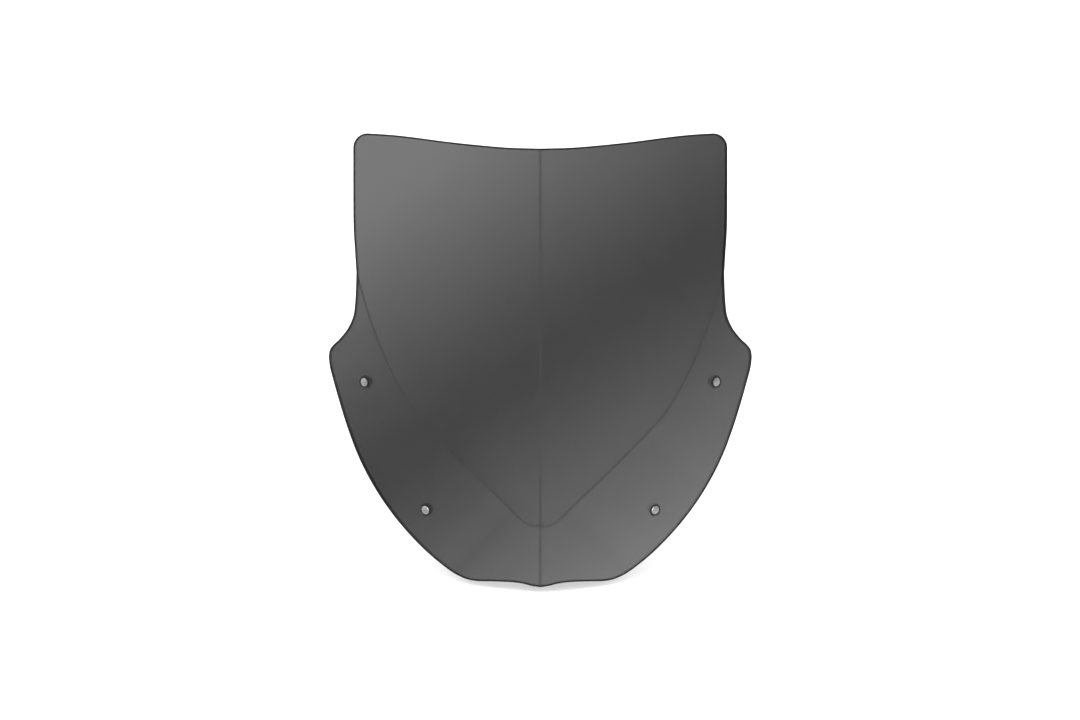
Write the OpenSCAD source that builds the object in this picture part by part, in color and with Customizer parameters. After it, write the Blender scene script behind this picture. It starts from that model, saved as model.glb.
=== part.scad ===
// Motorcycle windshield screen: one sheet of smoked acrylic, formed with a
// centre ridge and a folded skirt, on four rubber bushes with steel sleeves.
// Frame: X across the motorcycle, Z up, the front faces -Y and the top leans
// back toward +Y.  The origin is the middle of the four fixings.
// On the face itself u runs across, v up from the tip of the beak, and depth
// is measured behind the flat plane that touches the ridge.

/* [Sheet] */
// Greatest width, across the two wing tips
screen_w = 270; // [200:5:340]
// Length along the face, from the beak to the top corners
face_h = 289; // [220:1:360]
// Thickness of the sheet
sheet_t = 2.5; // [2:0.5:4]
// Lean of the face back from upright, in degrees
rake = 19; // [0:0.5:35]
// Radius of the two top corners
corner_r = 9; // [5:1:14]

/* [Form] */
// Fall of the face on each side of the centre ridge, depth per width
ridge_slope = 0.1; // [0.02:0.01:0.2]
// Wrap of the face round to the sides, depth = wrap * u * u
wrap = 0.0016; // [0.0008:0.0001:0.002]
// Crown of the face from top to bottom, depth = crown * (v - middle) ^ 2
crown = 0.0002; // [0:0.0001:0.0004]
// Fold of the skirt at the wings, depth per width
fold_wing = 0.42; // [0.3:0.02:0.8]
// Fold of the skirt under the beak, depth per width
fold_low = 0.38; // [0.2:0.02:0.6]
// Bow of the skirt across its width, depth = bow * (distance from the fold) ^ 2
skirt_bow = 0.0012; // [0:0.0002:0.002]
// Softness of the formed bends
bend_r = 0.4; // [0.4:0.2:4]

/* [Fixings] */
// Upper fixing holes, distance from the centre line across the face
upper_u = 112.2; // [108:0.2:116]
// Upper fixing holes, height on the face above the beak
upper_v = 130.5; // [120:0.5:140]
// Lower fixing holes, distance from the centre line across the face
lower_u = 73.2; // [66:0.2:78]
// Lower fixing holes, height on the face above the beak
lower_v = 49; // [44:0.5:56]
// Bore of each sleeve, for an M5 screw
sleeve_bore = 5.5; // [5.2:0.1:5.8]
// Outer diameter of each sleeve
sleeve_d = 6.1; // [6:0.1:6.5]
// How far each sleeve stands out behind the rear flange
sleeve_out = 3; // [0:0.5:6]
// Hole in the sheet, filled by the neck of the bush
sheet_hole = 6.9; // [6.7:0.1:7.4]
// Bead of the bush that shows as a ring on the front
bead_d = 7.7; // [7.6:0.1:9]
// Flange of the bush behind the sheet
flange_d = 8.6; // [7.8:0.2:13]
// Thickness of the rear flange
flange_t = 0.5; // [0.5:0.1:2]

/* [Hidden] */
$fn = 96;
fu = screen_w / 270;
fv = face_h / 289;
shoulder = 119.2;       // half width of the upper part, before scaling
bead_t = 0.3;           // thickness of the front bead
groove_gap = 0.05;      // running gap of the groove on each face of the sheet
columns_low = 24;       // mesh columns from the ridge to the wing tip
columns_wing = 11;      // mesh columns from the wing tip to the waist
rows_up = 13;           // mesh rows from the fold to the top
rows_skirt = 6;         // mesh rows from the fold to the lower outline

// Half outline, up the right-hand side from the beak to the wing tip
skirt_edge = [[0, 0], [5.5, 0.8], [11.5, 2.3], [19, 3.2], [30, 3.6], [42, 4],
    [50, 6.2], [59, 11.5], [73, 23], [87.4, 38], [99.4, 53.5], [109, 69],
    [116.5, 84.2], [122.5, 100], [127.3, 115], [131.6, 130], [134.2, 140],
    [135, 146.5]];
// Over the wing tip and in to the waist
wing_edge = [[135, 146.5], [134.3, 151], [131.8, 154.5], [128, 158],
    [122.5, 165], [119.2, 172.5], [118.1, 180], [117.5, 190], [117.2, 200]];
// From the waist up to the start of the top corner
side_edge = [[117.2, 200], [118, 213], [119, 230], [119.2, 256],
    [119.2, 289 - corner_r / fv]];
// Top edge from the ridge to the other end of the corner
top_edge = [[0, 279.1], [20, 279.7], [40, 281.4], [60, 283.6], [80, 286.3],
    [95, 288], [119.2 - corner_r / fu, 289]];
// Fold line from the ridge to abreast of the wing tip, then to the waist
fold_line = [[0, 39], [6, 39.6], [12, 42.8], [20, 50.8], [36, 66], [52, 81.6],
    [67, 97], [79, 110], [89, 126.4], [97, 142], [104, 159]];
fold_top = [[104, 159], [108.5, 171], [113, 186], [117.2, 200]];

// Catmull-Rom curve through a list of points, mirrored past its ends
function ghost(p, i) = i < 0 ? 2 * p[0] - p[1]
    : i >= len(p) ? 2 * p[len(p) - 1] - p[len(p) - 2] : p[i];
function cr(a, b, c, d, t) = 0.5 * ((2 * b) + (c - a) * t
    + (2 * a - 5 * b + 4 * c - d) * t * t + (3 * b - a - 3 * c + d) * t * t * t);
function dense(p, n = 10) = [for (i = [0:len(p) - 2]) for (k = [0:n - 1])
    cr(ghost(p, i - 1), p[i], p[i + 1], ghost(p, i + 2), k / n), p[len(p) - 1]];
// Two lists that meet at a shared point, as one list; and a stretch of a list
function joined(a, b) = concat(a, [for (i = [1:len(b) - 1]) b[i]]);
function part(p, i0, i1) = [for (i = [i0:i1]) p[i]];
function fit(p) = [for (q = p) [q[0] * fu, q[1] * fv]];
// Points on a curve at equal fractions of its length
function along(p, i = 1, acc = [0]) = i >= len(p) ? acc
    : along(p, i + 1, concat(acc, [acc[i - 1] + norm(p[i] - p[i - 1])]));
function table(p, axis) = let (s = along(p))
    [for (i = [0:len(p) - 1]) [s[i] / s[len(p) - 1], p[i][axis]]];
function spread(p, n) = let (x = table(p, 0), y = table(p, 1))
    [for (i = [0:n]) [lookup(i / n, x), lookup(i / n, y)]];

// The corner arc is shared between the top edge and the side
function corner(a0, a1) = [for (k = [0:6]) let (a = a0 + (a1 - a0) * k / 6)
    [shoulder * fu - corner_r + corner_r * cos(a), face_h - corner_r + corner_r * sin(a)]];
columns = columns_low + columns_wing;
fold_pts = dense(fit(joined(fold_line, fold_top)));
skirt_pts = dense(fit(joined(skirt_edge, wing_edge)));
fold_mid = 10 * (len(fold_line) - 1);
skirt_mid = 10 * (len(skirt_edge) - 1);
side_pts = concat(dense(fit(side_edge)), [for (k = [1:6]) corner(0, 45)[k]]);
top_pts = concat(dense(fit(top_edge)), [for (k = [1:6]) corner(90, 45)[k]]);
F = joined(spread(part(fold_pts, 0, fold_mid), columns_low),
    spread(part(fold_pts, fold_mid, len(fold_pts) - 1), columns_wing));
E = joined(spread(part(skirt_pts, 0, skirt_mid), columns_low),
    spread(part(skirt_pts, skirt_mid, len(skirt_pts) - 1), columns_wing));
T = spread(top_pts, columns);
R = spread(side_pts, rows_up);

// Depth of the front face behind the ridge plane
function soft(x, r) = sqrt(x * x + r * r) - r;
function ramp(x, r) = (x + sqrt(x * x + r * r)) / 2;
function ease(x) = let (t = min(1, max(0, x))) t * t * (3 - 2 * t);
function seg_dist(p, a, b) = let (d = b - a,
    t = min(1, max(0, (p - a) * d / (d * d)))) norm(p - a - t * d);
fold_way = [for (i = [0:3:len(fold_pts) - 1]) fold_pts[i]];
function fold_gap(p) = min([for (i = [0:len(fold_way) - 2])
    seg_dist(p, fold_way[i], fold_way[i + 1])]);
function fold_v(u) = lookup(u, fold_way);
function below(p) = p[0] >= fold_way[len(fold_way) - 1][0]
    ? (p[1] < fold_way[len(fold_way) - 1][1] ? 1 : -1)
    : (p[1] < fold_v(p[0]) ? 1 : -1);
function fold_k(v) = fold_low + (fold_wing - fold_low) * ease((v / fv - 40) / 90);
function depth_at(u, v) = let (x = abs(u), g = below([x, v]) * fold_gap([x, v]))
    ridge_slope * soft(x, bend_r) + wrap * x * x
    + crown * pow(v - face_h / 2, 2)
    + fold_k(v) * ramp(g, bend_r) + skirt_bow * pow(max(g, 0), 2);
function face_point(u, v) = [u, v, -depth_at(u, v)];
function face_normal(u, v) = let (h = 0.5,
    du = (depth_at(u + h, v) - depth_at(u - h, v)) / (2 * h),
    dv = (depth_at(u, v + h) - depth_at(u, v - h)) / (2 * h),
    n = [du, dv, 1]) n / norm(n);

// From the face (across, up, toward the front) to the motorcycle's frame
function lean(p) = [p[0], p[1] * sin(rake) - p[2] * cos(rake),
    p[1] * cos(rake) + p[2] * sin(rake)];
pattern = (face_point(upper_u, upper_v) + face_point(lower_u, lower_v)) / 2;
home = lean([0, pattern[1], pattern[2]]);
function place(p) = lean(p) - home;

// Right-hand half of the mesh: skirt rows first, then the main face
function patch(i, j) = let (s = i / columns, t = j / rows_up,
    c00 = F[0], c10 = F[columns], c01 = T[0], c11 = T[columns],
    left = c00 * (1 - t) + c01 * t)
    (1 - t) * F[i] + t * T[i] + (1 - s) * left + s * R[j]
    - ((1 - s) * (1 - t) * c00 + s * (1 - t) * c10 + (1 - s) * t * c01 + s * t * c11);
function half_uv(i, r) = r < rows_skirt
    ? E[i] * (1 - r / rows_skirt) + F[i] * (r / rows_skirt)
    : patch(i, r - rows_skirt);
function uv(c, r) = let (q = half_uv(abs(c - columns), r))
    [c < columns ? -q[0] : q[0], q[1]];
last_c = 2 * columns;
last_r = rows_skirt + rows_up;
function end_c(c) = c == 0 || c == last_c;
function rows_of(c) = end_c(c) ? rows_up + 1 : last_r + 1;
function idx(c, r) = (c == 0 ? 0 : rows_up + 1 + (c - 1) * (last_r + 1))
    + (end_c(c) ? max(r - rows_skirt, 0) : r);
grid = [for (c = [0:last_c]) for (r = [end_c(c) ? rows_skirt : 0:last_r]) uv(c, r)];
front = [for (q = grid) place(face_point(q[0], q[1]))];
back = [for (q = grid) place(face_point(q[0], q[1]) - sheet_t * face_normal(q[0], q[1]))];
count = len(grid);
function tri_ok(t) = t[0] != t[1] && t[1] != t[2] && t[0] != t[2];
front_faces = [for (c = [0:last_c - 1]) for (r = [0:last_r - 1])
    let (a = idx(c, r), b = idx(c + 1, r), d = idx(c + 1, r + 1), e = idx(c, r + 1))
    for (t = c < columns ? [[a, e, b], [b, e, d]] : [[a, e, d], [a, d, b]])
        if (tri_ok(t)) t];
back_faces = [for (t = front_faces) [t[2] + count, t[1] + count, t[0] + count]];
rim = concat([for (c = [0:last_c]) idx(c, 0)],
    [for (r = [rows_skirt + 1:last_r]) idx(last_c, r)],
    [for (c = [last_c - 1:-1:0]) idx(c, last_r)],
    [for (r = [last_r - 1:-1:rows_skirt + 1]) idx(0, r)]);
rim_faces = [for (k = [0:len(rim) - 1])
    let (a = rim[k], b = rim[(k + 1) % len(rim)])
    for (t = [[a, b, b + count], [a, b + count, a + count]]) t];

// Puts a shape with its Z along the outward normal of the face at (u, v)
module on_face(u, v) {
    n = place(face_normal(u, v)) - place([0, 0, 0]);
    translate(place(face_point(u, v)))
        rotate([0, acos(n[2]), atan2(n[1], n[0])]) children();
}

// The formed sheet with its four drilled holes
module screen() color([0.34, 0.34, 0.35]) difference() {
    polyhedron(points = concat(front, back),
        faces = concat(front_faces, back_faces, rim_faces), convexity = 6);
    for (q = [[-upper_u, upper_v], [upper_u, upper_v], [-lower_u, lower_v], [lower_u, lower_v]])
        on_face(q[0] * fu, q[1] * fv)
            translate([0, 0, -3 * sheet_t]) cylinder(d = sheet_hole, h = 6 * sheet_t);
}

// Rubber bush: front bead with a lip over the sleeve's end, neck through the
// sheet, rear flange
module bush() {
    r0 = sleeve_d / 2;
    lip = sleeve_bore / 2;
    neck = sheet_hole / 2;
    z0 = -sheet_t - groove_gap;
    z1 = groove_gap + bead_t;
    rotate_extrude() polygon([
        [lip, z1], [bead_d / 2 - 0.2, z1],
        [bead_d / 2, z1 - 0.2], [bead_d / 2, groove_gap], [neck, groove_gap],
        [neck, z0], [flange_d / 2 - 0.1, z0], [flange_d / 2, z0 - 0.1],
        [flange_d / 2, z0 - flange_t + 0.2], [flange_d / 2 - 0.2, z0 - flange_t],
        [r0, z0 - flange_t], [r0, groove_gap], [lip, groove_gap]]);
}

// Steel sleeve inside the bush, from behind the rear flange up to the lip
module sleeve() {
    z0 = -sheet_t - groove_gap - flange_t - sleeve_out;
    length = groove_gap - z0;
    translate([0, 0, z0]) difference() {
        cylinder(d = sleeve_d, h = length);
        translate([0, 0, -1]) cylinder(d = sleeve_bore, h = length + 2);
    }
}

module bush_upper_left() color([0.09, 0.09, 0.09]) on_face(-upper_u * fu, upper_v * fv) bush();
module bush_upper_right() color([0.09, 0.09, 0.09]) on_face(upper_u * fu, upper_v * fv) bush();
module bush_lower_left() color([0.09, 0.09, 0.09]) on_face(-lower_u * fu, lower_v * fv) bush();
module bush_lower_right() color([0.09, 0.09, 0.09]) on_face(lower_u * fu, lower_v * fv) bush();

module sleeve_upper_left() color([0.6, 0.6, 0.6]) on_face(-upper_u * fu, upper_v * fv) sleeve();
module sleeve_upper_right() color([0.6, 0.6, 0.6]) on_face(upper_u * fu, upper_v * fv) sleeve();
module sleeve_lower_left() color([0.6, 0.6, 0.6]) on_face(-lower_u * fu, lower_v * fv) sleeve();
module sleeve_lower_right() color([0.6, 0.6, 0.6]) on_face(lower_u * fu, lower_v * fv) sleeve();

screen();
bush_upper_left();
bush_upper_right();
bush_lower_left();
bush_lower_right();
sleeve_upper_left();
sleeve_upper_right();
sleeve_lower_left();
sleeve_lower_right();
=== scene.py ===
import math

import bpy
import numpy as np
from mathutils import Matrix, Vector
from mathutils.geometry import delaunay_2d_cdt


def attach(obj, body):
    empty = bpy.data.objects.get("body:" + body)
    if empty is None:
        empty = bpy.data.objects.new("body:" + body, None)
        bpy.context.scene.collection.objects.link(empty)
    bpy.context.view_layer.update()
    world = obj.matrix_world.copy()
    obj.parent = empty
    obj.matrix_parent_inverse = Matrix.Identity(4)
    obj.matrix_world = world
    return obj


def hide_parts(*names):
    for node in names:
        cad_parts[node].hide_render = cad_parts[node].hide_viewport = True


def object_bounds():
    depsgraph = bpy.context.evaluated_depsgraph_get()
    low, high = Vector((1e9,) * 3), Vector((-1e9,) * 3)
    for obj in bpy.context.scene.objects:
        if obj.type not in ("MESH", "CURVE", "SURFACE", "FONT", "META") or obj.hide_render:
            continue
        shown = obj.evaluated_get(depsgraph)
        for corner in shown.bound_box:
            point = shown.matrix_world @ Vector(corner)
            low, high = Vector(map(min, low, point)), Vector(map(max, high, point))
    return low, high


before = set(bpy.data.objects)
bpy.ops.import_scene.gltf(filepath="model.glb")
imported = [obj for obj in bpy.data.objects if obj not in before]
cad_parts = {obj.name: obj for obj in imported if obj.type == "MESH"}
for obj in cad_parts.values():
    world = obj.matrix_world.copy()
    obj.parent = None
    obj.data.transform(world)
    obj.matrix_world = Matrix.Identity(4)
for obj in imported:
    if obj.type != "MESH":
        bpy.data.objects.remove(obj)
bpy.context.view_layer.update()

# ---------------------------------------------------------------- the design
# The same sheet as the CAD's, in millimetres on the face: u across, v up from
# the beak, w toward the front.  scene.py only samples it more finely.
SCREEN_W, FACE_H, SHEET_T, RAKE, CORNER_R = 270.0, 289.0, 2.5, 19.0, 9.0
RIDGE_SLOPE, WRAP, CROWN = 0.1, 0.0016, 0.0002
FOLD_WING, FOLD_LOW, SKIRT_BOW, BEND_R = 0.42, 0.38, 0.0012, 0.4
SHOULDER = 119.2
HOLES = {
    "upper_left": (-112.2, 130.5),
    "upper_right": (112.2, 130.5),
    "lower_left": (-73.2, 49.0),
    "lower_right": (73.2, 49.0),
}
SLEEVE_BORE, SLEEVE_D, SHEET_HOLE, BEAD_D, FLANGE_D = 5.5, 6.1, 6.9, 7.7, 8.6
FLANGE_T, SLEEVE_OUT, BEAD_T, GAP = 0.5, 3.0, 0.3, 0.05

SKIRT = [(0, 0), (5.5, 0.8), (11.5, 2.3), (19, 3.2), (30, 3.6), (42, 4), (50, 6.2), (59, 11.5), (73, 23), (87.4, 38), (99.4, 53.5), (109, 69), (116.5, 84.2), (122.5, 100), (127.3, 115), (131.6, 130), (134.2, 140), (135, 146.5)]
WING = [(135, 146.5), (134.3, 151), (131.8, 154.5), (128, 158), (122.5, 165), (119.2, 172.5), (118.1, 180), (117.5, 190), (117.2, 200)]
SIDE = [(117.2, 200), (118, 213), (119, 230), (119.2, 256), (119.2, FACE_H - CORNER_R)]
TOP = [(0, 279.1), (20, 279.7), (40, 281.4), (60, 283.6), (80, 286.3), (95, 288), (SHOULDER - CORNER_R, FACE_H)]
FOLD = [(0, 39), (6, 39.6), (12, 42.8), (20, 50.8), (36, 66), (52, 81.6), (67, 97), (79, 110), (89, 126.4), (97, 142), (104, 159), (108.5, 171), (113, 186), (117.2, 200)]


def curve(points, n=24):
    p = np.array(points, float)
    p = np.vstack([2 * p[0] - p[1], p, 2 * p[-1] - p[-2]])
    out = []
    for i in range(1, len(p) - 2):
        a, b, c, d = p[i - 1 : i + 3]
        t = np.linspace(0, 1, n, endpoint=False)[:, None]
        out.append(0.5 * (2 * b + (c - a) * t + (2 * a - 5 * b + 4 * c - d) * t**2 + (3 * b - a - 3 * c + d) * t**3))
    return np.vstack(out + [p[-2:-1]])


def by_length(p, step):
    s = np.r_[0, np.cumsum(np.linalg.norm(np.diff(p, axis=0), axis=1))]
    n = max(2, int(round(s[-1] / step)))
    q = np.linspace(0, s[-1], n + 1)
    return np.column_stack([np.interp(q, s, p[:, 0]), np.interp(q, s, p[:, 1])])


def arc(a0, a1, n=24):
    a = np.radians(np.linspace(a0, a1, n + 1))
    return np.column_stack([SHOULDER - CORNER_R + CORNER_R * np.cos(a), FACE_H - CORNER_R + CORNER_R * np.sin(a)])


FOLD_PATH = curve(FOLD, 12)


def fold_gap(x, v):
    """Distance in the face plane to the fold, positive on the skirt's side."""
    p = np.column_stack([x, v])
    best = np.full(len(p), 1e9)
    for a, b in zip(FOLD_PATH[:-1], FOLD_PATH[1:]):
        d = b - a
        t = np.clip((p - a) @ d / (d @ d), 0, 1)
        best = np.minimum(best, np.linalg.norm(p - a - t[:, None] * d, axis=1))
    line = np.interp(x, FOLD_PATH[:, 0], FOLD_PATH[:, 1])
    return np.where(v < line, 1.0, -1.0) * best


def depth(u, v):
    x = np.abs(u)
    t = np.clip((v - 40) / 90, 0, 1)
    k = FOLD_LOW + (FOLD_WING - FOLD_LOW) * t * t * (3 - 2 * t)
    g = fold_gap(x, v)
    return RIDGE_SLOPE * (np.sqrt(x * x + BEND_R**2) - BEND_R) + WRAP * x * x + CROWN * (v - FACE_H / 2) ** 2 + k * (g + np.sqrt(g * g + BEND_R**2)) / 2 + SKIRT_BOW * np.maximum(g, 0) ** 2


def surface(uv):
    return np.column_stack([uv[:, 0], uv[:, 1], -depth(uv[:, 0], uv[:, 1])])


def normals(uv, h=0.08):
    u, v = uv[:, 0], uv[:, 1]
    du = (depth(u + h, v) - depth(u - h, v)) / (2 * h)
    dv = (depth(u, v + h) - depth(u, v - h)) / (2 * h)
    n = np.column_stack([du, dv, np.ones(len(u))])
    return n / np.linalg.norm(n, axis=1)[:, None]


_r = math.radians(RAKE)
LEAN = np.array([[1, 0, 0], [0, math.sin(_r), -math.cos(_r)], [0, math.cos(_r), math.sin(_r)]])
_h = surface(np.array([HOLES["upper_right"], HOLES["lower_right"]])).mean(0)
HOME = LEAN @ np.array([0, _h[1], _h[2]])


def place(p):
    """Face coordinates in millimetres to the row frame in metres."""
    return (np.asarray(p) @ LEAN.T - HOME) / 1000


def turn(n):
    return np.asarray(n) @ LEAN.T


def inside(p, loop):
    x, y = p[:, 0], p[:, 1]
    hit = np.zeros(len(p), bool)
    for (x0, y0), (x1, y1) in zip(loop, np.roll(loop, -1, axis=0)):
        cross = (y0 > y) != (y1 > y)
        with np.errstate(divide="ignore", invalid="ignore"):
            hit ^= cross & (x < (x1 - x0) * (y - y0) / (y1 - y0 + 1e-300) + x0)
    return hit


def gap_to(p, loop):
    best = np.full(len(p), 1e9)
    for a, b in zip(loop, np.roll(loop, -1, axis=0)):
        d = b - a
        t = np.clip((p - a) @ d / max(d @ d, 1e-12), 0, 1)
        best = np.minimum(best, np.linalg.norm(p - a - t[:, None] * d, axis=1))
    return best


def new_object(name, verts, faces, vert_normals=None, smooth=True):
    mesh = bpy.data.meshes.new(name)
    mesh.from_pydata([tuple(v) for v in verts], [], [tuple(f) for f in faces])
    mesh.validate()
    if smooth:
        mesh.polygons.foreach_set("use_smooth", [True] * len(mesh.polygons))
    if vert_normals is not None:
        mesh.normals_split_custom_set_from_vertices([tuple(n) for n in vert_normals])
    obj = bpy.data.objects.new(name, mesh)
    bpy.context.scene.collection.objects.link(obj)
    return obj


# ---------------------------------------------------------------- the sheet
EDGE_R = 0.85  # flame-polished edge
STEP = 1.7
right = np.vstack([by_length(curve(SKIRT), STEP)[:-1], by_length(curve(WING), STEP)[:-1], by_length(curve(SIDE), STEP)[:-1], by_length(arc(0, 90), 1.2)[:-1], by_length(curve(TOP)[::-1], STEP)])
left = right[::-1][1:-1] * [-1, 1]
outline = np.vstack([right, left])  # anticlockwise seen from the front

# the faces stop short of the outline by what the rounded edge then adds
N = normals(outline)
along_2d = np.roll(outline, -1, axis=0) - np.roll(outline, 1, axis=0)
out_2d = np.column_stack([along_2d[:, 1], -along_2d[:, 0]])
out_2d /= np.linalg.norm(out_2d, axis=1)[:, None]
inset = outline - EDGE_R * (1 - np.clip((N[:, :2] * out_2d).sum(1), 0, 0.95))[:, None] * out_2d
T = np.roll(surface(inset), -1, axis=0) - np.roll(surface(inset), 1, axis=0)
T /= np.linalg.norm(T, axis=1)[:, None]

# a narrow rim of the faces that takes the edge's near-black colour, as painted shade,
# so that the dark of the cut edge is equally wide all round when the sheet is seen square on
PAINTED_SHADE_RIM_W = 1.1
share = 1 - np.clip((N[:, :2] * out_2d).sum(1), 0, 0.95)
painted_shade_rim = inset - np.clip(PAINTED_SHADE_RIM_W - EDGE_R * share, 0.2, None)[:, None] * out_2d

# hole rings: the cylinder of the hole where it meets the face
HOLE_EASE = 0.25
ring_n = 48
rings, ring_frames = [], []
for name, (hu, hv) in HOLES.items():
    c = surface(np.array([(hu, hv)]))[0]
    n = normals(np.array([(hu, hv)]), 0.5)[0]
    e1 = np.cross([0, 1, 0], n)
    e1 /= np.linalg.norm(e1)
    e2 = np.cross(n, e1)
    a = np.linspace(0, 2 * math.pi, ring_n, endpoint=False)[:, None]
    radial = np.cos(a) * e1 + np.sin(a) * e2
    rings.append((c + (SHEET_HOLE / 2 + HOLE_EASE) * radial)[:, :2])
    ring_frames.append((name, c, n, e1, e2, radial))

# interior points: an even net, denser along the ridge and the folds
pitch = 3.4
rows = []
for j, v in enumerate(np.arange(0, FACE_H, pitch * math.sqrt(3) / 2)):
    us = np.arange(pitch * (0.5 if j % 2 else 1.0), 137, pitch)
    rows.append(np.column_stack([us, np.full(len(us), v)]))
net = np.vstack(rows)
offsets = (0.2, 0.45, 0.8, 1.4, 2.6)
keep = (net[:, 0] > offsets[-1] + 1.6) & (np.abs(fold_gap(net[:, 0], net[:, 1])) > offsets[-1] + 1.6)
net = net[keep]
fine = []
vs = np.arange(0.0, 282, 1.9)
for k, o in enumerate(offsets):
    fine.append(np.column_stack([np.full(len(vs), o), vs + (0.95 if k % 2 else 0)]))
ridge_rows = np.vstack(fine)
ridge_rows = ridge_rows[np.abs(fold_gap(ridge_rows[:, 0], ridge_rows[:, 1])) > 0.9]
path = by_length(FOLD_PATH, 1.9)
tang = np.gradient(path, axis=0)
tang /= np.linalg.norm(tang, axis=1)[:, None]
side_n = np.column_stack([tang[:, 1], -tang[:, 0]])
fold_rows = [path[path[:, 0] > 0.3]]
for o in offsets:
    for s in (-1, 1):
        q = path + s * o * side_n
        q = q[(q[:, 0] > 0.35) & (np.abs(fold_gap(q[:, 0], q[:, 1])) > o * 0.93)]
        fold_rows.append(q)
fold_rows = np.vstack(fold_rows)
half = np.vstack([net, ridge_rows, fold_rows])
ridge_line = np.column_stack([np.zeros(len(vs)), vs])
net = np.vstack([half, half * [-1, 1], ridge_line])
ok = inside(net, painted_shade_rim) & (gap_to(net, painted_shade_rim) > 0.75)
for ring in rings:
    ok &= ~inside(net, ring) & (gap_to(net, ring) > 0.9)
net = net[ok]

loops = [inset, painted_shade_rim] + rings
points = [tuple(p) for p in np.vstack(loops + [net])]
edges, start = [], 0
for loop in loops:
    m = len(loop)
    edges += [(start + i, start + (i + 1) % m) for i in range(m)]
    start += m
cdt = delaunay_2d_cdt([Vector(p) for p in points], edges, [], 0, 1e-7)
uv = np.array([tuple(v) for v in cdt[0]])
tris = np.array([tuple(f) for f in cdt[2]])
back_to = {}
for i, origin in enumerate(cdt[3]):
    for o in origin:
        back_to[o] = i
mid = uv[tris].mean(1)
good = inside(mid, inset)
for ring in rings:
    good &= ~inside(mid, ring)
tris = tris[good]
e1_, e2_ = uv[tris[:, 1]] - uv[tris[:, 0]], uv[tris[:, 2]] - uv[tris[:, 0]]
flip = e1_[:, 0] * e2_[:, 1] - e1_[:, 1] * e2_[:, 0] < 0
tris[flip] = tris[flip][:, ::-1]
# triangles between the inset and the rim loop get material 1, the painted near-black shade on the faces' rim
on_painted_shade_rim = [int(x) for x in ~inside(uv[tris].mean(1), painted_shade_rim)]

S, SN = surface(uv), normals(uv)
verts = [S, S - SHEET_T * SN]
vnorm = [SN, -SN]
faces = [tuple(t) for t in tris] + [tuple(len(uv) + i for i in t[::-1]) for t in tris]
# material 1 covers the cut edge and also the painted-shade rim of the two faces
zone = on_painted_shade_rim * 2  # 0 on the two faces, 1 on the cut edge
count = 2 * len(uv)


def band(first, last, profile_points, profile_normals, turn_over):
    """Quads from one row of existing vertices to another through new rows."""
    global count
    ids = [first]
    for pts, nor in zip(profile_points, profile_normals):
        verts.append(pts)
        vnorm.append(nor)
        ids.append(list(range(count, count + len(pts))))
        count += len(pts)
    ids.append(last)
    for a, b in zip(ids[:-1], ids[1:]):
        m = len(a)
        for i in range(m):
            j = (i + 1) % m
            f = (a[i], b[i], b[j], a[j])
            faces.append(f[::-1] if turn_over else f)
            zone.append(1)


# outer edge: a rounded band between the two faces
lid = [back_to[i] for i in range(len(inset))]
En, Sb = SN[lid], S[lid]
Eb = np.cross(T, En)
Eb /= np.linalg.norm(Eb, axis=1)[:, None]
pts, nor = [], []
for a in np.radians([18, 36, 54, 72, 90]):
    d = math.cos(a) * En + math.sin(a) * Eb
    pts.append(Sb - EDGE_R * En + EDGE_R * d)
    nor.append(d)
for a in np.radians([0, 18, 36, 54, 72]):
    d = math.cos(a) * Eb - math.sin(a) * En
    pts.append(Sb - (SHEET_T - EDGE_R) * En + EDGE_R * d)
    nor.append(d)
band(lid, [len(uv) + i for i in lid], pts, nor, False)

# hole walls, with eased rims
offset = len(inset) + len(painted_shade_rim)
for ring, (name, c, n, e1, e2, radial) in zip(rings, ring_frames):
    ids = [back_to[offset + i] for i in range(len(ring))]
    offset += len(ring)
    pts, nor = [], []
    top = S[ids]
    for a in np.radians([30, 60, 90]):
        d = math.cos(a) * n - math.sin(a) * radial
        pts.append(top - HOLE_EASE * n + HOLE_EASE * d)
        nor.append(d)
    for a in np.radians([0, 30, 60]):
        d = -math.cos(a) * radial - math.sin(a) * n
        pts.append(top - (SHEET_T - HOLE_EASE) * n + HOLE_EASE * d)
        nor.append(d)
    band(ids, [len(uv) + i for i in ids], pts, nor, False)

verts = place(np.vstack(verts))
vnorm = turn(np.vstack(vnorm))
screen = new_object("screen_sheet", verts, faces, vnorm)
assert len(screen.data.polygons) == len(zone)
# material 1 is the painted near-black shade of the cut edge and of the faces' rim
screen.data.polygons.foreach_set("material_index", zone)

# ---------------------------------------------------------------- the bushes
def rounded(profile, n=6):
    """Closed half-section; each corner is (r, z, fillet)."""
    out = []
    m = len(profile)
    for i in range(m):
        a, b, c = (np.array(profile[(i + k) % m][:2], float) for k in (-1, 0, 1))
        f = profile[i][2]
        if f <= 0:
            out.append(b)
            continue
        d0, d1 = (a - b) / np.linalg.norm(a - b), (c - b) / np.linalg.norm(c - b)
        half_angle = math.acos(max(-1, min(1, float(d0 @ d1)))) / 2
        back = f / math.tan(half_angle)
        p0, p1 = b + d0 * back, b + d1 * back
        centre = b + (d0 + d1) / np.linalg.norm(d0 + d1) * (f / math.sin(half_angle))
        a0 = math.atan2(*(p0 - centre)[::-1])
        a1 = math.atan2(*(p1 - centre)[::-1])
        while a1 - a0 > math.pi:
            a1 -= 2 * math.pi
        while a1 - a0 < -math.pi:
            a1 += 2 * math.pi
        for t in np.linspace(a0, a1, n):
            out.append(centre + f * np.array([math.cos(t), math.sin(t)]))
    return np.array(out)


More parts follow.
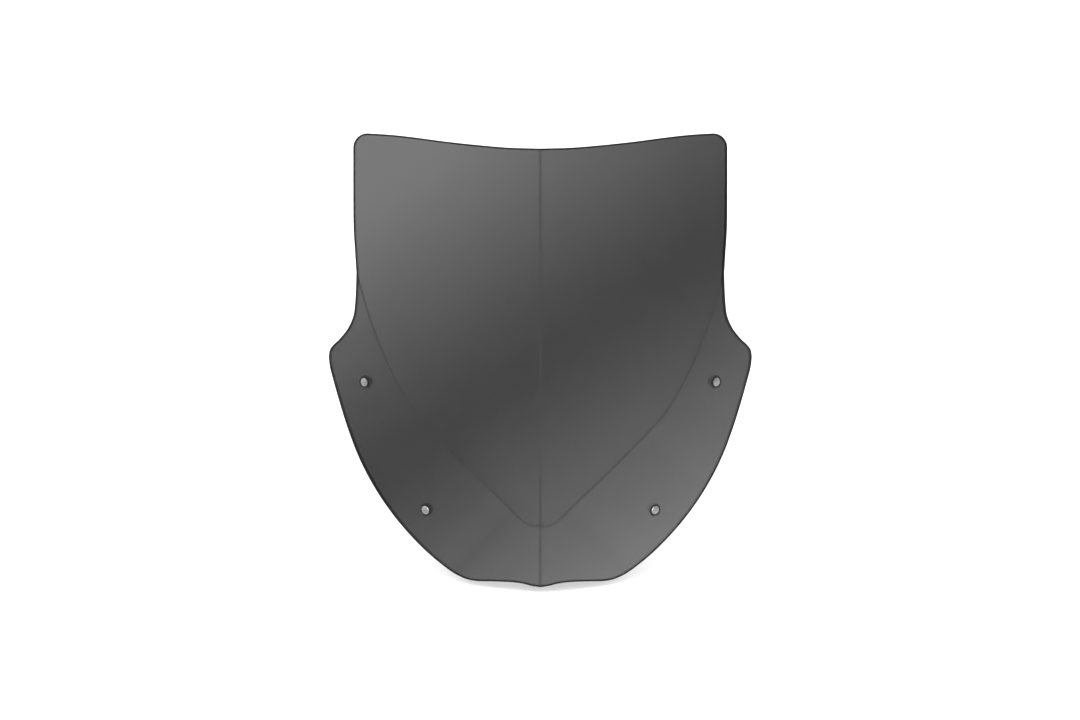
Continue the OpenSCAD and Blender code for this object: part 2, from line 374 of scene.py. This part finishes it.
z1, z0 = GAP + BEAD_T, -SHEET_T - GAP
bush_section = rounded(
    [
        (SLEEVE_BORE / 2, z1, 0.08),
        (BEAD_D / 2, z1, 0.2),
        (BEAD_D / 2, GAP, 0.06),
        (SHEET_HOLE / 2, GAP, 0.05),
        (SHEET_HOLE / 2, z0, 0.05),
        (FLANGE_D / 2, z0, 0.06),
        (FLANGE_D / 2, z0 - FLANGE_T, 0.25),
        (SLEEVE_D / 2, z0 - FLANGE_T, 0.05),
        (SLEEVE_D / 2, GAP, 0),
        (SLEEVE_BORE / 2, GAP, 0.05),
    ]
)
sleeve_section = rounded(
    [
        (SLEEVE_BORE / 2, GAP, 0.04),
        (SLEEVE_D / 2, GAP, 0.06),
        (SLEEVE_D / 2, z0 - FLANGE_T - SLEEVE_OUT, 0.06),
        (SLEEVE_BORE / 2, z0 - FLANGE_T - SLEEVE_OUT, 0.12),
    ]
)


def lathe(name, hole, section, n_round=96):
    _, c, n, e1, e2, _ = next(f for f in ring_frames if f[0] == hole)
    v, f = [], []
    m = len(section)
    for i in range(n_round):
        a = 2 * math.pi * i / n_round
        radial = math.cos(a) * e1 + math.sin(a) * e2
        for r, z in section:
            v.append(c + r * radial + z * n)
    for i in range(n_round):
        j = (i + 1) % n_round
        for k in range(m):
            l = (k + 1) % m
            f.append((i * m + k, i * m + l, j * m + l, j * m + k))
    obj = new_object(name, place(np.array(v)), f)
    obj.data.set_sharp_from_angle(angle=math.radians(50))
    return obj


bushes = {name: lathe("rubber_bush_" + name, name, bush_section) for name in HOLES}
sleeves = {name: lathe("steel_sleeve_" + name, name, sleeve_section) for name in HOLES}

fitted = [(screen, "screen", "smoked_acrylic")]
fitted += [(b, "bush_" + n, "bush_rubber") for n, b in bushes.items()]
fitted += [(b, "sleeve_" + n, "sleeve_steel") for n, b in sleeves.items()]
for obj, node, slot in fitted:
    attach(obj, "root")
    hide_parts(node)

# ---------------------------------------------------------------- materials
def material(name):
    m = bpy.data.materials.new(name)
    m.use_nodes = True
    nt = m.node_tree
    return m, nt, nt.nodes["Principled BSDF"]


def noise(nt, scale, detail=3.0, rough=0.5):
    """Noise over the object's own coordinates; scale is waves per metre."""
    coord = nt.nodes.get("Texture Coordinate") or nt.nodes.new("ShaderNodeTexCoord")
    n = nt.nodes.new("ShaderNodeTexNoise")
    n.inputs["Scale"].default_value = scale
    n.inputs["Detail"].default_value = detail
    n.inputs["Roughness"].default_value = rough
    nt.links.new(coord.outputs["Object"], n.inputs["Vector"])
    return n.outputs["Fac"]


def ranged(nt, value, lo, hi, start=0.3, end=0.7):
    m = nt.nodes.new("ShaderNodeMapRange")
    for k, v in (("From Min", start), ("From Max", end), ("To Min", lo), ("To Max", hi)):
        m.inputs[k].default_value = v
    nt.links.new(value, m.inputs["Value"])
    return m.outputs["Result"]


def mixed(nt, value, dark, light):
    ramp = nt.nodes.new("ShaderNodeValToRGB")
    ramp.color_ramp.elements[0].position, ramp.color_ramp.elements[0].color = 0.3, (*dark, 1)
    ramp.color_ramp.elements[1].position, ramp.color_ramp.elements[1].color = 0.7, (*light, 1)
    nt.links.new(value, ramp.inputs["Fac"])
    return ramp.outputs["Color"]


def bumped(nt, p, value, height, strength=1.0):
    b = nt.nodes.new("ShaderNodeBump")
    b.inputs["Strength"].default_value = strength
    b.inputs["Distance"].default_value = height
    nt.links.new(value, b.inputs["Height"])
    nt.links.new(b.outputs["Normal"], p.inputs["Normal"])


# Smoked acrylic: clear, tinted grey, polished.  The tint drifts a little over
# the sheet and the polish has faint matt clouds.
acrylic, nt, p = material("smoked_acrylic")
nt.links.new(mixed(nt, noise(nt, 14, 2), (0.0473, 0.0473, 0.0485), (0.0513, 0.0513, 0.0525)), p.inputs["Base Color"])
nt.links.new(ranged(nt, noise(nt, 60, 5, 0.6), 0.035, 0.075), p.inputs["Roughness"])
p.inputs["IOR"].default_value = 1.49
p.inputs["Transmission Weight"].default_value = 1.0
smoke = nt.nodes.new("ShaderNodeVolumeAbsorption")
smoke.inputs["Color"].default_value = (0, 0, 0, 1)
smoke.inputs["Density"].default_value = 195.0
nt.links.new(smoke.outputs["Volume"], nt.nodes["Material Output"].inputs["Volume"])
screen.data.materials.append(acrylic)

# The cut edge takes in light along the sheet, so it looks nearly black. That dark is painted shade:
# an opaque near-black colour on the cut edge and on the faces' rim, over the smoked tint the sheet really has.
edge, nt, p = material("smoked_edge_painted_shade")
nt.links.new(mixed(nt, noise(nt, 900, 3), (0.010, 0.010, 0.0105), (0.018, 0.018, 0.019)), p.inputs["Base Color"])
nt.links.new(ranged(nt, noise(nt, 1500, 3), 0.3, 0.45), p.inputs["Roughness"])
p.inputs["IOR"].default_value = 1.3
p.inputs["Specular IOR Level"].default_value = 0.1
bumped(nt, p, noise(nt, 1800, 2), 0.00002)
screen.data.materials.append(edge)

rubber, nt, p = material("bush_rubber")
nt.links.new(mixed(nt, noise(nt, 700, 4), (0.011, 0.011, 0.012), (0.026, 0.026, 0.027)), p.inputs["Base Color"])
nt.links.new(ranged(nt, noise(nt, 1600, 3), 0.5, 0.72), p.inputs["Roughness"])
p.inputs["Specular IOR Level"].default_value = 0.12
bumped(nt, p, noise(nt, 4200, 2), 0.00004)
for b in bushes.values():
    b.data.materials.append(rubber)

steel, nt, p = material("sleeve_steel")
nt.links.new(mixed(nt, noise(nt, 500, 4), (0.47, 0.47, 0.477), (0.55, 0.55, 0.55)), p.inputs["Base Color"])
nt.links.new(ranged(nt, noise(nt, 2400, 3), 0.38, 0.55), p.inputs["Roughness"])
p.inputs["Metallic"].default_value = 0.4
bumped(nt, p, noise(nt, 5200, 2), 0.00002)
for b in sleeves.values():
    b.data.materials.append(steel)

# ---------------------------------------------------------------- the studio
low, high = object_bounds()
floor_z = low[2] - 0.004
bpy.ops.mesh.primitive_circle_add(vertices=128, radius=14, fill_type="NGON", location=(0, 0, floor_z))
floor = bpy.context.object
floor.name = "studio_floor"
white, nt, p = material("studio_white")
p.inputs["Base Color"].default_value = (0.92, 0.92, 0.92, 1)
p.inputs["Roughness"].default_value = 0.9
p.inputs["Specular IOR Level"].default_value = 0.0
floor.data.materials.append(white)
floor.visible_glossy = False

scene = bpy.context.scene
scene.view_settings.view_transform = "Standard"
GLOSS_SKY = 0.35  # what polished surfaces mirror outside the light tent
world = bpy.data.worlds.new("studio")
scene.world = world
world.use_nodes = True
wn = world.node_tree
wn.nodes["Background"].inputs["Color"].default_value = (1, 1, 1, 1)
is_gloss = wn.nodes.new("ShaderNodeLightPath")
level = wn.nodes.new("ShaderNodeMapRange")
level.inputs["To Min"].default_value = 1.75
level.inputs["To Max"].default_value = GLOSS_SKY
wn.links.new(is_gloss.outputs["Is Glossy Ray"], level.inputs["Value"])
wn.links.new(level.outputs["Result"], wn.nodes["Background"].inputs["Strength"])

key = bpy.data.objects.new("key_light", bpy.data.lights.new("key_light", "SUN"))
key.data.energy = 0.35
key.data.angle = math.radians(20)
scene.collection.objects.link(key)
key.rotation_euler = Vector((0.55, 0.75, -1.0)).to_track_quat("-Z", "Y").to_euler()

# A graded light tent in front of the screen.  Only mirror reflections see it.
# Its brightness at each point is what the polished face needs there so that
# the face shows one soft band of shade, from low on the left to high on the
# right, between two soft lights.
TENT_R, IOR = 900.0, 1.49
TENT_C = np.array([0.0, 144.0, -25.0])
SEEN_THROUGH = 0.0465  # of the white behind, in linear light


def seen_through(uv):
    """Light that comes through; the floor close behind the beak is in shade."""
    return SEEN_THROUGH * (1 - 0.74 * np.exp(-uv[:, 1] / 50))


def fresnel(cos_i):
    s2 = (1 - cos_i**2) / IOR**2
    cos_t = np.sqrt(1 - s2)
    rs = (cos_i - IOR * cos_t) / (cos_i + IOR * cos_t)
    rp = (IOR * cos_i - cos_t) / (IOR * cos_i + cos_t)
    return (rs**2 + rp**2) / 2


def shade(uv):
    """The face's brightness, in linear light, wanted at each point."""
    q = np.sin(math.radians(-35)) * uv[:, 0] + np.cos(math.radians(-35)) * (uv[:, 1] - FACE_H / 2)
    g = 69 + 0.396 * (np.sqrt(q * q + 13.8**2) - 13.8)
    g = np.where(g > 116, 116 + 6 * np.tanh((g - 116) / 6), g) / 255
    return ((g + 0.055) / 1.055) ** 2.4


def mirrored(uv):
    """Directions from the tent's centre to what each face point mirrors."""
    p, n = surface(uv), normals(uv)
    cos_i = n[:, 2]
    ray = 2 * cos_i[:, None] * n - np.array([0, 0, 1.0])
    d = p - TENT_C
    b = (d * ray).sum(1)
    t = -b + np.sqrt(b * b - (d * d).sum(1) + TENT_R**2)
    return (p + t[:, None] * ray - TENT_C) / TENT_R, cos_i


grid_u, grid_v = np.meshgrid(np.arange(-134.0, 135, 2.0), np.arange(1.0, 289, 2.0))
probe = np.column_stack([grid_u.ravel(), grid_v.ravel()])
probe = probe[inside(probe, outline) & (np.abs(probe[:, 0]) > 1.6)]
probe = probe[np.abs(fold_gap(np.abs(probe[:, 0]), probe[:, 1])) > 1.6]
path = by_length(FOLD_PATH, 2.0)[1:-1]
tang = np.gradient(path, axis=0)
tang /= np.linalg.norm(tang, axis=1)[:, None]
side_n = np.column_stack([tang[:, 1], -tang[:, 0]])
bend = np.vstack([path + o * side_n for o in np.linspace(-0.35, 0.35, 11)])
bend = np.vstack([bend, bend * [-1, 1]])
line_v = np.arange(1.0, 279, 2.0)
ridge = np.vstack([np.column_stack([np.full(len(line_v), o), line_v]) for o in np.linspace(-0.4, 0.4, 9)])
foot = np.array([(u, 39 + w) for u in np.linspace(-0.5, 0.5, 11) for w in np.linspace(-0.6, 0.6, 13)])
# the bends mirror gaps between the soft lights, which are a little darker
fold_gap_left = np.interp(bend[:, 1], (39, 44, 55, 68, 85, 120, 145, 185), (0.8, 0.7, 0.59, 0.66, 0.5, 0.6, 0.45, 0.4))
fold_gap_right = np.interp(bend[:, 1], (39, 44, 53, 62, 72, 88, 110, 125, 145, 165, 185), (0.83, 0.66, 0.57, 0.48, 0.47, 0.41, 0.48, 0.42, 0.48, 0.46, 0.4))
fold_dark = np.where(bend[:, 0] < 0, fold_gap_left, fold_gap_right)
fold_deep = np.where(bend[:, 0] < 0, np.interp(bend[:, 1], (68, 84, 95, 104, 112, 120, 128), (0, 0.05, 0.06, 0.05, 0.09, 0.1, 0)), 0)
ridge_dark = np.interp(ridge[:, 1], (0, 12, 22, 42, 62, 72, 82, 102, 115, 125, 132, 155, 165, 175, 190, 205, 215, 225, 242, 262, 280), (0.66, 0.68, 0.57, 0.7, 0.62, 0.7, 0.86, 0.92, 1.0, 1.3, 1.9, 1.9, 1.3, 1.0, 0.74, 0.74, 0.57, 0.45, 0.5, 0.43, 0.55))
need, where = [], []
for pts, factor, deep in ((probe, np.ones(len(probe)), 0), (bend, fold_dark, fold_deep), (ridge, ridge_dark, 0), (foot, np.full(len(foot), 0.5), 0)):
    h, cos_i = mirrored(pts)
    f = fresnel(cos_i)
    light = np.clip(shade(pts) - seen_through(pts), 0.004, None) / f
    low_light = light * np.maximum(factor, 1)
    need.append(np.where(light > GLOSS_SKY, np.maximum(GLOSS_SKY + (light - GLOSS_SKY) * np.minimum(factor, 1), low_light * (factor > 1)), low_light) - deep)
    where.append(h)
need, where = np.concatenate(need), np.vstack(where)

# gathered on a half-degree grid and smoothed, finely where the sheet mirrors
# the tent and ever more coarsely away from there
CELL = 0.5
az_deg, el_deg = np.arange(-180, 180.1, CELL), np.arange(-90, 90.1, CELL)
gx = (np.degrees(np.arctan2(where[:, 0], where[:, 2])) - az_deg[0]) / CELL
gy = (np.degrees(np.arcsin(where[:, 1])) - el_deg[0]) / CELL
ix, iy = np.floor(gx).astype(int), np.floor(gy).astype(int)
fx, fy = gx - ix, gy - iy
held = (ix >= 0) & (ix < len(az_deg) - 1) & (iy >= 0) & (iy < len(el_deg) - 1)
total, mass = np.zeros((len(el_deg), len(az_deg))), np.zeros((len(el_deg), len(az_deg)))
for dx, dy in ((0, 0), (1, 0), (0, 1), (1, 1)):
    w = (fx if dx else 1 - fx) * (fy if dy else 1 - fy)
    np.add.at(total, (iy[held] + dy, ix[held] + dx), (w * need)[held])
    np.add.at(mass, (iy[held] + dy, ix[held] + dx), w[held])


def smoothed(grid, sigma):
    n = int(3 * sigma / CELL) + 1
    k = np.exp(-0.5 * (np.arange(-n, n + 1) * CELL / sigma) ** 2)
    k /= k.sum()
    for axis in (0, 1):
        grid = np.apply_along_axis(lambda line: np.convolve(line, k)[n:-n], axis, grid)
    return grid


top_sum, low_sum = 0, 0
for sigma, share in ((0.7, 1.0), (1.6, 1e-2), (4.5, 1e-4), (12, 1e-7), (30, 1e-9)):
    top_sum = top_sum + share * smoothed(total, sigma)
    low_sum = low_sum + share * smoothed(mass, sigma)
glow = (top_sum / low_sum)[::2, ::2].ravel()
A, E = np.meshgrid(np.radians(az_deg[::2]), np.radians(el_deg[::2]))
dirs = np.column_stack([(np.sin(A) * np.cos(E)).ravel(), np.sin(E).ravel(), (np.cos(A) * np.cos(E)).ravel()])
# past what the sheet mirrors when seen square on, the tent falls to the rest
# of the room: dim, with two soft lights and a pale floor behind the screen
room_dirs = turn(dirs)


def soft_light(azimuth, elevation, width, strength):
    """A round glow; azimuth from the front, clockwise from above, in degrees."""
    a, e = math.radians(azimuth), math.radians(elevation)
    middle = np.array([math.sin(a) * math.cos(e), -math.cos(a) * math.cos(e), math.sin(e)])
    away = np.degrees(np.arccos(np.clip(room_dirs @ middle, -1, 1)))
    return strength * np.exp(-0.5 * (away / width) ** 2)


room = GLOSS_SKY + soft_light(128, -38, 26, 1.5) + soft_light(-140, 20, 24, 1.1) + 0.45 * np.clip((-room_dirs[:, 2] - 0.35) / 0.5, 0, 1) * np.clip(room_dirs[:, 1] + 0.4, 0, 1)
cover = smoothed((mass > 0).astype(float), 3.0)[::2, ::2].ravel()
fall = 1 - np.clip(cover / 0.12, 0, 1)
fall = fall * fall * (3 - 2 * fall)
glow = glow + (room - glow) * fall
rows_n, cols_n = A.shape
quads = [(r * cols_n + c, r * cols_n + c + 1, (r + 1) * cols_n + c + 1, (r + 1) * cols_n + c) for r in range(rows_n - 1) for c in range(cols_n - 1)]
tent = new_object("light_tent", place(TENT_C + TENT_R * dirs), quads)
glow_data = tent.data.attributes.new("glow", "FLOAT", "POINT")
glow_data.data.foreach_set("value", glow.astype(np.float32))
tent_mat = bpy.data.materials.new("light_tent")
tent_mat.use_nodes = True
tn = tent_mat.node_tree
tn.nodes.clear()
glow_in = tn.nodes.new("ShaderNodeAttribute")
glow_in.attribute_name = "glow"
glow_out = tn.nodes.new("ShaderNodeEmission")
tn.links.new(glow_in.outputs["Fac"], glow_out.inputs["Strength"])
tn.links.new(glow_out.outputs["Emission"], tn.nodes.new("ShaderNodeOutputMaterial").inputs["Surface"])
tent_mat.cycles.emission_sampling = "NONE"
tent.data.materials.append(tent_mat)
for flag in ("visible_camera", "visible_diffuse", "visible_transmission", "visible_volume_scatter", "visible_shadow"):
    setattr(tent, flag, False)

# camera: square on to the face, which leans back by the rake
cam_data = bpy.data.cameras.new("camera")
cam = bpy.data.objects.new("camera", cam_data)
scene.collection.objects.link(cam)
scene.camera = cam
cam_data.sensor_fit = "HORIZONTAL"
cam_data.sensor_width = 36
distance = 18.0
frame_w = 1080 * 270.0 / 423.9 / 1000  # metres across the frame at the face
mean_depth = 35.0
centre = place(np.array([[-0.2, 144.6, -mean_depth]]))[0]
view_dir = turn(np.array([[0, 0, 1.0]]))[0]
cam.location = Vector(centre + view_dir * distance)
cam.rotation_euler = Vector(-view_dir).to_track_quat("-Z", "Y").to_euler()
cam_data.lens = 36 * distance / frame_w
cam_data.clip_end = 200
